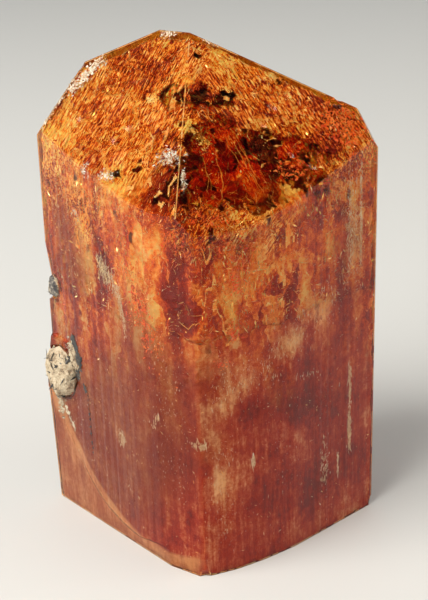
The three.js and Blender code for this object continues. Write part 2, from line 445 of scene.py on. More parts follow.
veilSet = {
    # colours of the pyramid, of the upper prism and of the lower prism, right and left
    "crownStops": [
        (0.39, (0.16, 0.006, 0.002)), (0.44, (0.46, 0.034, 0.005)), (0.49, (0.8, 0.15, 0.014)),
        (0.545, (1, 0.42, 0.055)), (0.61, (1, 0.88, 0.4))],
    # the deep veils' colours are brighter than the outer ones': painted light in place of the light that the
    # outer veils and the crystal keep from them
    "deepStops": [
        (0.38, (0.45, 0.006, 0.001)), (0.44, (0.85, 0.035, 0.003)), (0.5, (1, 0.13, 0.01)),
        (0.55, (1, 0.45, 0.07)), (0.6, (1, 0.9, 0.45))],
    "slabStops": [
        (0.41, (0.24, 0.005, 0.001)), (0.46, (0.48, 0.034, 0.004)), (0.51, (0.76, 0.13, 0.016)),
        (0.56, (0.95, 0.35, 0.07)), (0.62, (1, 0.74, 0.36))],
    "rightStops": [
        (0.43, (0.21, 0.003, 0.001)), (0.47, (0.37, 0.014, 0.003)), (0.51, (0.48, 0.038, 0.01)),
        (0.55, (0.62, 0.15, 0.065)), (0.62, (0.95, 0.6, 0.38))],
    "leftStops": [
        (0.42, (0.22, 0.012, 0.003)), (0.47, (0.3, 0.034, 0.01)), (0.52, (0.36, 0.066, 0.022)),
        (0.57, (0.48, 0.15, 0.065)), (0.64, (0.8, 0.48, 0.3))],
    "spallStops": [
        (0.43, (0.38, 0.07, 0.022)), (0.5, (0.5, 0.145, 0.055)), (0.6, (0.74, 0.36, 0.19))],
    # dark and bright zones: middle and radius in millimetres, and how far the colour moves; the bright ones
    # at (-0.1, -6, 40.8), (0.8, -6.6, 39.9) and (6.5, 1.2, 44) are a painted glow of light shining through
    # the crystal from behind
    "zones": [
        (2, -5.6, 36.6, 6.5, -0.12), (6.8, -3.4, 36.8, 4.5, -0.1), (1.5, -9.6, 36, 4.5, -0.1),
        (0.3, -2.6, 42.7, 3, -0.09), (9.6, 1, 41.5, 3.5, -0.06), (5, 0, 43.5, 4.5, -0.02),
        (13, -1.5, 38.5, 5, -0.09), (-0.1, -6, 40.8, 1.6, 0.24), (0.8, -6.6, 39.9, 1.6, 0.2),
        (6.5, 1.2, 44, 1.2, 0.1), (-13, -0.6, 39.5, 4, 0.07), (-12.5, 1.5, 42.5, 3, 0.06),
        (-8.5, -4.5, 34.5, 5.5, 0.02), (-3, -7.5, 39, 4.5, -0.04), (-2.1, -10.8, 36, 3.8, -0.11),
        (-7.8, -7.5, 36.2, 2.4, 0.09), (-5, -3.5, 41.5, 2.6, -0.04), (-6, -6.8, 38.6, 2, 0.06),
        (0.5, -13.2, 33, 4, -0.07), (-9, -7, 25.5, 4.5, -0.04), (0, -13.5, 25.5, 4, -0.04),
        (4.5, -10.3, 29, 4, 0.05), (8.3, -8.6, 32, 2.8, -0.08), (8.3, -8.6, 27.5, 2.8, -0.08),
        (4.3, -11, 33, 1.6, -0.05), (12.2, -4.5, 30, 3.4, 0.1)],
    # the same for the lower part: a pale cloud that climbs to the right, and smaller spots
    "lowZones": [
        (2.5, -12.5, 17.5, 2.6, 0.08), (4.9, -11, 19.2, 3, 0.11), (8.4, -8.4, 21.4, 3, 0.13),
        (11, -5.6, 24, 2.8, 0.12), (13.8, -2.6, 27.5, 3.4, 0.1), (2.4, -13, 9, 3, 0.05),
        (-15.2, -0.4, 11.5, 2.4, 0.1), (-4, -11.2, 20, 3, -0.03), (14, -2.5, 31.5, 4, 0.09),
        (-7, -8, 26.4, 2, 0.05), (-6.6, -9, 23, 1.4, 0.05), (-7.6, -8, 11.4, 1.3, 0.06),
        (13.9, -2.2, 12, 1.8, 0.06), (9, -7.6, 15, 4.5, -0.07), (12, -5, 6, 5, -0.03),
        (-9.5, -6.5, 22, 5, -0.04), (0.5, -13.4, 20.5, 3.6, -0.045), (9, -7.6, 8, 5, -0.04),
        (5.5, -10.8, 6, 4, -0.03)],
    # the scar of a spall: outside one round place and inside another, with a paler rim that is a painted
    # highlight on the scar's step;
    # middle, core and radius in millimetres
    "spallCut": ((-3, -11.2, 18), 16.4, 16.9),
    "spallSide": ((-10, -5.5, 3), 12.6, 14),
    "spallRim": ((-3, -11.2, 18), 17.3, 18.6),
    "scarLift": 0.07,
    "slabTone": 0.08,  # share of the slabs in the upper prism's colour, and in the lower one's
    "lowSlabTone": 0.05,
    "slabRim": 0.04,
    "leftSide": ((-15, -5.5, 17), 14, 21),
    # islands of the lower look above its height
    "lowIslands": [
        (8.4, -8.4, 21.4, 3.4, -0.8), (-12.4, -3.6, 27, 5.6, -1), (-13.6, -2.2, 31.5, 3.4, -0.9),
        (14.4, -2.2, 29.5, 4.2, -0.95)],
    "slabFrom": 22 * mm,
    "slabBlend": 8 * mm,
    "crownFrom": 34 * mm,
    "crownBlend": 3 * mm,
    "roughness": 0.35,
    "gloss": 0.15,
    "thickness": 0.03 * mm,
    "clearOfSkin": 0.14 * mm,
    # where the outer veils open to the ones behind: middle and radius in millimetres
    "windows": [
        (2.6, -5.6, 37.4, 3.4), (3.6, -6.6, 35.4, 3), (6.4, -3.6, 37.6, 2.6), (-1.8, -2.5, 42.8, 1),
        (0.2, -2.6, 42.6, 1.1), (2.2, -2, 42.3, 1), (8.6, -4, 36.4, 2.4), (1.2, -8.8, 36.5, 2.4)],
    "windowFall": (1.25, 0.75),  # share in a window's middle, and what it loses over the radius
    "windowHoles": 1.5,  # how much the windows add to what is missing
    "windowsTo": 2,  # veils deeper than this have no windows
    # sizes of the holes as turns per metre, and their weights; they are drawn out along the fibres
    "holes": [(190, 0.35), (1100, 0.5), (2800, 0.65)],
    "drawnOut": 0.78,
    "rightDirection": (0.54, -0.48, -0.69),  # of the fibres on the right half of the pyramid
    "rightHalf": ((9, -1, 41), 8, 10.5),
    "fibreContrast": (2, -0.5),  # times the mask, and added to it
    "cloudShare": 0.6,
    "slabContrast": (1.3, -0.15),
    # heights in millimetres between which the calm lower veils turn into loose ones
    "calmTo": 12,
    "looseFrom": 34,
    "calmShare": 0.14,
    "footGap": 0.06,
    # sizes of the folds in millimetres, and their reach for a crumple of 1
    "folds": [(3.4, 1.6), (1.3, 0.75), (0.55, 0.5)],
    "veils": [
        # name, from and to height, depth under the skin and grid in millimetres, crumple,
        # share missing above and below, seed
        ("veil_outer", 22, 50, 0.6, 0.29, 0.9, -0.62, -1.2, 1),
        ("veil_outer_low", 0, 24, 0.22, 0.34, 1.2, -0.1, -1.2, 1),
        ("veil_second", 13, 50, 1.5, 0.32, 1.7, -0.2, -1.2, 4),
        ("veil_middle", 16, 50, 3, 0.4, 2.6, -0.28, -1.2, 2),
        ("veil_core", 18, 50, 6.5, 0.6, 4, -0.4, -0.7, 3),
    ],
}


def makeVeilMaterial(name, crownStops):
    material, tree, shader, place = startMaterial(name, Roughness=veilSet["roughness"],
                                                  Specular_IOR_Level=veilSet["gloss"])
    patches = addGroup(mottle, place, Size=480, Grain=0.3)
    grain = addGroup(mottle, place, Size=2400, Grain=0.5)
    clouds = addGroup(mottle, place, Size=190, Grain=0.3)
    fine = addGroup(streaks, place, Size=2600, Length=9)
    broad = addGroup(streaks, place, Size=420, Length=5)
    blocks = addGroup(slabs, place, Size=640)
    spots = addBlend(0.5, patches, grain)
    nothing = addNode(tree, "Value").outputs[0]
    zoneShift = addZoneShifts(nothing, place, veilSet["zones"])

    # the pyramid: fibres, clouds and zones
    fibres = addBlend(addPlace(place, veilSet["rightHalf"]),
                      addFibres(place, topazSet["fibreDirection"], 7000, 8),
                      addFibres(place, veilSet["rightDirection"], 6000, 7))
    fibres = addMath('MULTIPLY_ADD', fibres, *veilSet["fibreContrast"])
    cloudy = addMath('MULTIPLY_ADD', clouds, veilSet["cloudShare"], zoneShift)
    crownMask = addMath('ADD', addBlend(0.48, spots, fibres), cloudy)
    crownMask = addMath('SUBTRACT', crownMask, veilSet["cloudShare"] / 2)

    # the upper prism: spots, slabs with rims, and zones
    slabMask = addBlend(veilSet["slabTone"], addBlend(0.4, spots, broad), blocks)
    slabMask = addMath('MULTIPLY_ADD', slabMask, *veilSet["slabContrast"])
    slabMask = addMath('ADD', slabMask, zoneShift)
    slabMask = addMath('MULTIPLY_ADD', blocks.node.outputs["Rim"], veilSet["slabRim"], slabMask)

    # the lower prism: growth lines and clouds, duller on the left
    growth = addBlend(0.45, fine, broad)
    lowMask = addBlend(veilSet["lowSlabTone"], addBlend(0.5, growth, clouds), blocks)
    lowMask = addZoneShifts(addBlend(0.25, lowMask, grain), place, veilSet["lowZones"])
    low = addMix(addPlace(place, veilSet["leftSide"]),
                 addRamp(lowMask, veilSet["rightStops"]), addRamp(lowMask, veilSet["leftStops"]))

    # the scar of the spall
    rim, inner, side = [addPlace(place, veilSet[key]) for key in ("spallRim", "spallCut", "spallSide")]
    # the paler rim along the scar's border is a painted highlight
    highlighted = addMath('MULTIPLY_ADD', rim, veilSet["scarLift"], lowMask)
    scar = addMath('SUBTRACT', side, inner)
    scar.node.use_clamp = True
    low = addMix(scar, low, addRamp(highlighted, veilSet["spallStops"]))

    slab = addGroup(heightMask, place, Height=veilSet["slabFrom"], Blend=veilSet["slabBlend"])
    slab = addZoneShifts(slab, place, veilSet["lowIslands"])
    crown = addGroup(heightMask, place, Height=veilSet["crownFrom"], Blend=veilSet["crownBlend"])
    upper = addMix(crown, addRamp(slabMask, veilSet["slabStops"]),
                   addRamp(crownMask, crownStops))
    tree.links.new(addMix(slab, low, upper), shader.inputs["Base Color"])
    return material


def crumple(piece, size, strength, seed, group=""):
    for axis in 'XYZ':
        texture = bpy.data.textures.new(piece.name + axis, 'CLOUDS')
        texture.noise_scale = size
        texture.noise_depth = 1
        anchor = addObject("anchor")
        anchor.location = (seed * 0.013, ord(axis) * 0.017, seed * 0.007)
        applyModifier(piece, 'DISPLACE', texture=texture, texture_coords='OBJECT',
                      texture_coords_object=anchor, direction=axis, strength=strength, mid_level=0.5,
                      vertex_group=group)
        bpy.data.objects.remove(anchor)


# 1 in the middle of the windows, falling slowly to 0 outside them
def windowShare(point):
    top, slope = veilSet["windowFall"]
    return max(clamp(top - slope * (point - Vector(middle) * mm).length / (radius * mm))
               for *middle, radius in veilSet["windows"])


# 0 in the calm lower part and 1 in the loose upper one
def looseness(point):
    calmTo, looseFrom = veilSet["calmTo"], veilSet["looseFrom"]
    return clamp((point.z / mm - calmTo) / (looseFrom - calmTo))


def makeVeil(name, lowest, highest, depth, grid, amount, missingAbove, missingBelow, seed):
    piece = addObject(name, topaz.data.copy())
    applyModifier(piece, 'REMESH', mode='VOXEL', voxel_size=grid * mm)
    low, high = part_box("crystal")
    foot = veilSet["footGap"]
    shrink = [1 - 2 * depth * mm / (high[axis] - low[axis]) for axis in range(2)]
    shrink.append(1 - (depth + foot) * mm / high[2])
    piece.data.transform(Matrix.Translation((0, 0, foot * mm)) @ Matrix.Diagonal((*shrink, 1)))
    loose = piece.vertex_groups.new(name="loose")
    calmShare = veilSet["calmShare"]
    for vertex in piece.data.vertices:
        loose.add([vertex.index], calmShare + (1 - calmShare) * looseness(vertex.co), 'REPLACE')
    mesh = readMesh(piece)
    far = [vertex for vertex in mesh.verts if not lowest * mm <= vertex.co.z <= highest * mm]
    bmesh.ops.delete(mesh, geom=far, context='VERTS')
    writeMesh(mesh, piece.data)
    for k, (size, reach) in enumerate(veilSet["folds"]):
        crumple(piece, size * mm, amount * reach * mm, seed + 10 * k, "loose")
    mesh = readMesh(piece)
    shift = Vector((seed * 1.7, seed * 0.9, -seed * 1.1))
    windowed = depth < veilSet["windowsTo"]
    gone = []
    for vertex in mesh.verts:
        heading = fibresAt(vertex.co) if vertex.co.z > veilSet["crownFrom"] else Vector((0, 0, 1))
        spot = vertex.co - heading * vertex.co.dot(heading) * veilSet["drawnOut"]
        cover = sum(weight * noise.noise(spot * turns + shift) for turns, weight in veilSet["holes"])
        missing = missingBelow + (missingAbove - missingBelow) * looseness(vertex.co)
        if windowed:
            missing += veilSet["windowHoles"] * windowShare(vertex.co)
        if cover < missing:
            gone.append(vertex)
        elif depthOf(vertex.co) < veilSet["clearOfSkin"]:
            nearest, normal = nearestSkin(vertex.co)
            vertex.co = nearest - normal * (foot * mm if normal.z < -0.5 else veilSet["clearOfSkin"])
    bmesh.ops.delete(mesh, geom=gone, context='VERTS')
    writeMesh(mesh, piece.data)
    applyModifier(piece, 'SOLIDIFY', thickness=veilSet["thickness"], offset=0)
    bpy.ops.object.shade_flat()
    finishPiece(piece, outerVeil if windowed else innerVeil)


outerVeil = makeVeilMaterial("healed crack", veilSet["crownStops"])
# the deep veils take brighter colours, painted light for the shade they lie in
innerVeil = makeVeilMaterial("deep healed crack", veilSet["deepStops"])
for row in veilSet["veils"]:
    makeVeil(*row)


# small plates: flakes and specks, strewn along short stretches of the crystal

flakeSet = {
    # length and width of plates of size 1, rareness of big ones, tilt on the skin
    "length": (0.8, 2),
    "width": (0.5, 1),
    "rareness": 2.5,
    "tip": 0.15,
    "underTop": 0.05 * mm,  # kept free under the crystal's topmost point
    "uprightTurn": 0.2,
    "uprightStretch": (1, 4),
    # a plate's upper side, thickness and unevenness for a half size of 1
    "top": 0.75,
    "thickness": 0.16,
    "uneven": 0.05,
    "facing": 0.2,  # how far a veil's face has to look outwards to bear plates
    "glintLength": (1, 4.5),
    "glintWidth": (0.3, 0.8),
    "glintTip": (0.5, 0.3, 0.35),
    "glintDepth": 0.05 * mm,  # least depth in the crystal
    "clearance": 0.1 * mm,
    # colour stops, roughness and metal
    "materials": {
        "golden flake": ([(0.4, (0.9, 0.34, 0.05)), (0.5, (1, 0.66, 0.22)), (0.62, (1, 0.92, 0.7))],
                         0.18, 0.6),
        "glint": ([(0.38, (1, 0.42, 0.1)), (0.48, (1, 0.7, 0.3)), (0.58, (1, 0.95, 0.75))], 0.28, 1),
        "etched speck": ([(0.42, (0.34, 0.19, 0.09)), (0.5, (0.52, 0.41, 0.28)), (0.6, (0.74, 0.67, 0.56))],
                         0.6),
        # pale wisps, one small cluster of them a painted highlight
        "pale wisp": ([(0.4, (0.62, 0.38, 0.25)), (0.5, (0.84, 0.64, 0.48)), (0.6, (1, 0.93, 0.82))], 0.4),
        # painted glow: bright colours for light shining through the crystal from behind
        "glow": ([(0.42, (1, 0.36, 0.05)), (0.5, (1, 0.66, 0.18)), (0.58, (1, 0.95, 0.6))], 0.3),
        "ember": ([(0.42, (0.75, 0.05, 0.008)), (0.5, (1, 0.16, 0.02)), (0.6, (1, 0.4, 0.08))], 0.3),
    },
    # name, rows, material, seed, how proud of the skin, upright
    "pieces": [
        ("etched_specks", "etched", "etched speck", 13, 0.02 * mm),
        ("wisps", "wisps", "pale wisp", 17, -0.12 * mm, True),
        ("lace", "lace", "golden flake", 18, -0.45 * mm, True),
        ("glows", "glows", "glow", 20, -0.3 * mm),
        ("embers", "embers", "ember", 19, -0.15 * mm),
    ],
    "onVeils": [
        # name, veil, count, lowest height, lift off the veil, smallest and largest half size, seed
        ("glints_outer", "veil_outer", 8000, 23, 0.04, 0.03, 0.15, 14),
        ("glints_middle", "veil_middle", 1500, 26, 0.1, 0.04, 0.24, 15),
        ("glints_low", "veil_outer_low", 2500, 1, 0.02, 0.02, 0.08, 16),
    ],
    "gold": [
        # from, to, spread, count, smallest and largest half size, all in millimetres
        ((-12, -2, 36), (-4, 3, 44), (3, 3, 2.6), 600, 0.05, 0.3),
        ((-10, -4, 33), (10, -4, 33), (3, 4, 2.6), 900, 0.05, 0.3),
        ((-4, 1, 44), (8, 0, 41), (3, 2.6, 1.8), 400, 0.05, 0.3),
        ((6, 0, 38), (13, 0, 38), (2.4, 3, 2.4), 300, 0.05, 0.26),
        ((2, -10, 31), (6, -8, 24), (2, 1.6, 2.6), 300, 0.06, 0.35),
        ((-0.2, -4.6, 40.1), (0.5, -5.1, 39.2), (0.5, 0.5, 0.35), 70, 0.1, 0.35),
        ((6.7, 2, 44.1), (6.4, 1.6, 43.9), (0.2, 0.3, 0.2), 25, 0.1, 0.3),
        ((-4.3, -2.6, 42.6), (-3.6, -2, 41.6), (0.3, 0.3, 0.4), 30, 0.1, 0.4),
        ((-9, -3, 34), (-5, -6, 29), (1.6, 1.4, 2.4), 200, 0.05, 0.3),
    ],
    "etched": [
        ((-2.6, -8.2, 39), (-1.4, -8.4, 38.9), (0.45, 0.45, 0.4), 260, 0.02, 0.11),
        ((-0.7, -9.8, 38), (-0.5, -11.2, 36.8), (0.1, 0.3, 0.2), 130, 0.02, 0.1),
        ((-8.6, -6.9, 37), (-7.2, -7.6, 37), (0.3, 0.3, 0.25), 170, 0.02, 0.1),
        ((-10.3, -5.5, 37.2), (-9.8, -5.8, 37), (0.3, 0.3, 0.3), 90, 0.02, 0.1),
        ((-11.6, -4.2, 32.8), (-11.2, -4.5, 32.2), (0.3, 0.3, 0.3), 70, 0.02, 0.09),
        ((-12.6, 1.6, 42.8), (-9.6, 3.2, 45.4), (0.4, 0.35, 0.35), 520, 0.02, 0.15),
        ((-14.9, -0.1, 40), (-12.3, 2.8, 43.9), (0.16, 0.16, 0.14), 420, 0.02, 0.12),
        ((-3.3, 2.3, 48), (-2.2, 2.2, 47.9), (0.4, 0.3, 0.25), 160, 0.02, 0.13),
        ((0.2, 1.4, 47.5), (1.6, 1.4, 47), (0.3, 0.2, 0.15), 90, 0.02, 0.1),
    ],
    # just under the skin: pale streaks, and at (5.16, -11.5, 11) a small cluster that paints a bright
    # highlight
    "wisps": [
        ((-9.3, -6.5, 28.6), (-7.2, -8.7, 26.4), (0.2, 0.2, 0.6), 420, 0.02, 0.09),
        ((-7.2, -8.7, 26.4), (-6.6, -9.3, 23), (0.14, 0.14, 0.5), 260, 0.02, 0.08),
        ((1.9, -13.5, 18.1), (7, -9.9, 20.8), (0.7, 0.6, 1.2), 350, 0.015, 0.06),
        ((7, -9.9, 20.8), (13.9, -2.7, 25.6), (0.7, 0.7, 1.4), 400, 0.015, 0.06),
        ((-7.65, -8.2, 11.8), (-7.65, -8.2, 10.9), (0.25, 0.25, 0.35), 160, 0.02, 0.09),
        # this cluster is a painted highlight
        ((5.16, -11.5, 11.3), (5.16, -11.5, 10.5), (0.08, 0.06, 0.15), 40, 0.06, 0.16),
        ((-0.2, -13.9, 13.9), (1, -14, 13.5), (0.3, 0.2, 0.15), 50, 0.03, 0.11),
        ((-3.5, -12, 15.8), (-4.1, -11.6, 14.1), (0.15, 0.15, 0.15), 24, 0.04, 0.1),
        ((8.8, -8.4, 17.8), (11, -6, 17.5), (0.25, 0.25, 0.2), 30, 0.03, 0.09),
        ((14.05, -2.6, 16.5), (14.1, -2.5, 13), (0.1, 0.1, 0.5), 240, 0.02, 0.1),
        ((14.05, -2.6, 11.5), (14.1, -2.5, 8), (0.12, 0.12, 0.5), 340, 0.02, 0.1),
        ((11.6, -5.3, 9), (11.8, -5.2, 6), (0.3, 0.3, 0.9), 160, 0.02, 0.08),
        ((13, -3.8, 7.8), (13, -3.8, 5.6), (0.07, 0.07, 0.3), 110, 0.02, 0.08),
        ((14, -2.6, 33.4), (14.1, -2.5, 28), (0.5, 0.5, 1.8), 500, 0.015, 0.08),
        ((14.9, -1.6, 35.5), (15, -1.5, 27), (0.1, 0.1, 1.2), 300, 0.02, 0.08),
        ((-2.8, -12.4, 24), (-2.2, -12.8, 8), (1.2, 0.9, 2), 220, 0.015, 0.05),
        ((2.6, -13.1, 13), (2.4, -13.2, 3.4), (0.8, 0.6, 1), 240, 0.015, 0.05),
        ((-12, -3.8, 24), (-12, -3.8, 5), (1.2, 1.2, 2), 120, 0.015, 0.05),
        ((9, -8.4, 24), (9, -8.4, 4), (3.2, 3, 2), 120, 0.015, 0.045),
    ],
    "lace": [
        ((2, -13.3, 31.5), (6.8, -9.8, 31), (1.6, 1.2, 2), 420, 0.015, 0.08),
        ((2.1, -13.3, 27.6), (7.2, -9.8, 26.3), (1.6, 1.2, 2), 380, 0.015, 0.08),
        ((10, -7, 34), (13, -3.8, 29), (0.8, 0.8, 1.6), 260, 0.015, 0.08),
        ((-6.4, -9.5, 34.5), (-5.8, -10, 27), (1.6, 1.4, 2), 360, 0.015, 0.08),
        ((-12, -3.9, 36), (-9, -6.8, 34), (1, 1, 1), 300, 0.02, 0.09),
        ((-5.8, -10.1, 22.5), (-2.6, -12.6, 20), (1.4, 1, 1.6), 260, 0.015, 0.07),
    ],
    # bright plates that paint the glow of light shining through the crystal from behind
    "glows": [
        ((-0.3, -6.2, 41), (0.1, -6.2, 40.7), (0.14, 0.14, 0.12), 40, 0.04, 0.13),
        ((0.5, -6.7, 40.2), (1.3, -7, 39.3), (0.4, 0.4, 0.35), 80, 0.02, 0.12),
        ((6.3, 1.6, 44.3), (6.6, 1.3, 44.1), (0.15, 0.2, 0.1), 40, 0.06, 0.18),
        ((-4.4, -2.6, 43.2), (-3.6, -2.6, 42.4), (0.25, 0.25, 0.25), 60, 0.06, 0.2),
    ],
    "embers": [
        ((3.4, -12, 29.4), (3.6, -11.9, 28.2), (0.3, 0.25, 0.5), 90, 0.04, 0.16),
        ((3.4, -12.4, 24.6), (3.6, -12.3, 23.6), (0.3, 0.25, 0.4), 80, 0.04, 0.16),
        ((2.4, -13.1, 21.6), (2.6, -13, 21.4), (0.4, 0.2, 0.3), 60, 0.04, 0.15),
        ((-5.8, -9.8, 26.2), (-3.2, -12, 22.4), (0.9, 0.7, 1.2), 420, 0.03, 0.15),
        ((8, -5.1, 36.9), (8.8, -4.4, 36.6), (1, 0.8, 0.7), 200, 0.03, 0.16),
        ((-14, -1.7, 23), (-14.2, -1.6, 20.5), (0.4, 0.4, 0.8), 50, 0.03, 0.12),
        ((11.5, 0.3, 41.4), (14.6, -0.6, 38.4), (1.2, 1.2, 1.2), 900, 0.03, 0.18),
        ((-2, -12.6, 33), (5, -11, 33), (0.8, 0.6, 1), 260, 0.03, 0.14),
    ],
}


def makePlate(sides):
    bpy.ops.mesh.primitive_cone_add(vertices=sides, radius1=1, radius2=flakeSet["top"],
                                    depth=flakeSet["thickness"], end_fill_type='NGON')
    plate = bpy.context.object
    bpy.ops.object.mode_set(mode='EDIT')
    bpy.ops.mesh.select_all(action='SELECT')
    bpy.ops.transform.vertex_random(offset=flakeSet["uneven"], seed=sides)
    bpy.ops.object.mode_set(mode='OBJECT')
    mesh = plate.data.copy()
    bpy.data.objects.remove(plate)
    return mesh


plateShapes = [makePlate(sides) for sides in (4, 5, 6)]


def addPlate(mesh, plate, place, turn, shape):
    before = len(mesh.verts)
    mesh.from_mesh(plate)
    mesh.verts.ensure_lookup_table()
    for vertex in mesh.verts[before:]:
        vertex.co = keepInBox(place + turn @ (vertex.co * shape))


# plates that tumble in the crystal or, with a value for proud, lie along its skin
def strewPlates(name, rows, material, seed, proud=None, upright=False):
    chance = random.Random(seed)
    length, width, tip = flakeSet["length"], flakeSet["width"], flakeSet["tip"]
    mesh = bmesh.new()
    for start, end, spread, count, smallest, largest in rows:
        for i in range(count):
            point = Vector(start).lerp(Vector(end), chance.random()) * mm + scatter(chance, *spread) * mm
            size = (smallest + (largest - smallest) * chance.random() ** flakeSet["rareness"]) * mm
            turn = Euler([anyTurn(chance) for axis in range(3)]).to_matrix()
            shape = Vector((chance.uniform(*length), chance.uniform(*width), 1)) * size
            if proud is not None:
                nearest, normal = nearestSkin(point)
                point = nearest + normal * proud
                point.z = min(point.z, cadBox[1][2] - flakeSet["underTop"])
                lie = normal.to_track_quat('Z', 'Y').to_matrix()
                around = chance.gauss(math.pi / 2, flakeSet["uprightTurn"]) if upright else anyTurn(chance)
                turn = lie @ Euler((chance.gauss(0, tip), chance.gauss(0, tip), around)).to_matrix()
                if upright:
                    shape.x *= chance.uniform(*flakeSet["uprightStretch"])
            elif depthOf(point) < flakeSet["clearance"] + 2 * size:
                continue
            addPlate(mesh, chance.choice(plateShapes), point, turn, shape)
    piece = makePiece(name, mesh)
    finishPiece(piece, material)
    return piece


# plates that lie on the faces of a piece
def strewOnVeil(name, veil, count, lowest, lift, smallest, largest, material, seed, inCrystal=True):
    chance = random.Random(seed)
    length, width = flakeSet["glintLength"], flakeSet["glintWidth"]
    roll, pitch, yaw = flakeSet["glintTip"]
    faces = [face for face in bpy.data.objects[veil].data.polygons if face.center.z > lowest * mm
             and (not inCrystal or nearestSkin(face.center)[1].dot(face.normal) > flakeSet["facing"])]
    mesh = bmesh.new()
    for i in range(count):
        face = chance.choice(faces)
        size = (smallest + (largest - smallest) * chance.random() ** 3) * mm
        point = face.center + face.normal * (lift * mm + 0.4 * size)
        if inCrystal and depthOf(point) < flakeSet["glintDepth"] + size:
            continue
        lie = face.normal.to_track_quat('Z', 'Y').to_matrix()
        around = anyTurn(chance)
        if face.center.z > veilSet["crownFrom"]:
            along = fibresAt(face.center) @ lie
            around = math.atan2(along.y, along.x) + chance.gauss(0, yaw)
        tip = Euler((chance.gauss(0, roll), chance.gauss(0, pitch), around)).to_matrix()
        shape = Vector((chance.uniform(*length), chance.uniform(*width), 1)) * size
        addPlate(mesh, plateShapes[0], point, lie @ tip, shape)
    finishPiece(makePiece(name, mesh), material)


def makeSpotted(name, stops, roughness, metallic=0, grain=0.5, relief=0):
    material, tree, shader, place = startMaterial(name, Roughness=roughness, Metallic=metallic)
    spots = addGroup(mottle, place, Size=900, Grain=grain)
    feed(tree, shader.inputs["Base Color"], addRamp(spots, stops))
    if relief:
        addBump(shader, spots, relief, 0.08 * mm)
    return material


flakeMaterials = {name: makeSpotted(name, *row) for name, row in flakeSet["materials"].items()}
strewPlates("flakes_gold", flakeSet["gold"], flakeMaterials["golden flake"], 11)
for *row, seed in flakeSet["onVeils"]:
    strewOnVeil(*row, flakeMaterials["glint"], seed)
for name, rows, material, *row in flakeSet["pieces"]:
    strewPlates(name, flakeSet[rows], flakeMaterials[material], *row)


# hair cracks: fine bright threads inside the crystal

hairSet = {
    "strewn": [
        # from, to, spread, count, direction, wander, length, thickness, in millimetres
        ((-8, -5, 34), (8, -6, 34), (3, 3, 2.4), 500, (0.1, 0.3, 1), 0.6, 1.1, 0.022),
        ((0, 0, 42), (10, 0, 39), (2.6, 2.6, 2), 300, (0.6, 0.2, -0.5), 0.7, 1, 0.02),
    ],
    "underSkin": [
        ((-12, -2, 38), (-4, 1, 45), (2.8, 2.8, 2.4), 300, (0.43, 0.56, 0.71), 0.35, 0.7, 0.02),
        ((0, -12, 31), (10, -6, 31), (3, 2, 2.4), 300, (0.1, 0, 1), 0.9, 0.6, 0.022),
        ((-11, -5, 31), (-4, -10, 31), (2.4, 2, 2.4), 200, (0.1, 0.1, 1), 0.6, 0.7, 0.022),
    ],
    "skinDepth": (0.25, 0.8),
    "bend": (0.12, 0.12, 0.12),
    # parts of a thread, and ranges of its length and thickness as shares
    "innerParts": (5, (0.4, 1.3), (0.6, 1.4)),
    "skinParts": (3, (0.4, 1.4), (0.5, 1.4)),
    "clearance": 0.15 * mm,
    "step": 0.3,
    "wobble": 0.18,
    # chosen ones, as points they pass through, and a thickness
    "chosen": [
        ([(2.7, -4.5, 39.9), (3.3, -5, 39.2), (4.2, -5.9, 37.7), (5.6, -7.4, 35.4)], 0.06),
        ([(3.3, -4.5, 39.7), (3.7, -4.9, 39), (4.8, -6, 37.3), (5.5, -6.8, 36.3)], 0.045),
        ([(2.5, -4.8, 39.6), (2.9, -5.4, 38.7), (3.9, -6.1, 37.5), (5, -7.2, 35.9)], 0.04),
        ([(3.9, -4.7, 39), (4.4, -5.5, 37.9), (5.3, -6.2, 36.8)], 0.035),
        ([(4.6, -5.9, 37.3), (5.3, -6.9, 36), (6.2, -7.5, 35)], 0.04),
        ([(1.7, -6.2, 38.8), (1.9, -6.9, 37.9), (2.4, -7.7, 37), (2.5, -9.1, 35.1), (2, -9.6, 34.6)], 0.05),
        ([(0.6, -6.6, 38.2), (0.8, -7.3, 37.3), (1.2, -8, 36.6), (1, -9, 35.6)], 0.045),
        ([(-1.1, -13, 25.4), (-0.1, -13.5, 25), (0.8, -13.6, 25.7)], 0.06),
        ([(-1.2, -12.9, 24.3), (-0.2, -13.4, 23.9), (0.7, -13.6, 24.5)], 0.05),
        ([(-1.3, -12.8, 23), (-0.2, -13.4, 22.7), (0.7, -13.6, 23.1)], 0.06),
        ([(11, 1.3, 42), (11.5, 0.4, 40.9), (11.9, -0.9, 39.5), (12.3, -1.7, 38.7)], 0.05),
        ([(11.1, 1.4, 42.1), (11.5, 1, 41.7), (11.7, 0.2, 40.6), (12, -1, 39.4)], 0.05),
    ],
}


# strewn threads; those under the skin are shorter and lie along it
def hairRoutes(chance, rows, underSkin):
    parts, lengths, widths = hairSet["skinParts" if underSkin else "innerParts"]
    routes = []
    for start, end, spread, count, direction, wander, length, thickness in rows:
        for i in range(count):
            point = Vector(start).lerp(Vector(end), chance.random()) + scatter(chance, *spread)
            normal = Vector()
            if underSkin:
                nearest, normal = nearestSkin(point * mm)
                point = nearest / mm - normal * chance.uniform(*hairSet["skinDepth"])
            heading = Vector(direction).normalized() + wander * scatter(chance, 1, 1, 1)
            heading = (heading - normal * heading.dot(normal)).normalized()
            bend = None if underSkin else scatter(chance, *hairSet["bend"])
            step = length * chance.uniform(*lengths) / parts
            points = []
            for k in range(parts + 1):
                points.append(point.copy())
                point += heading * step
                heading = (heading + (scatter(chance, *hairSet["bend"]) if underSkin else bend)).normalized()
            routes.append((points, thickness * chance.uniform(*widths)))
    return routes


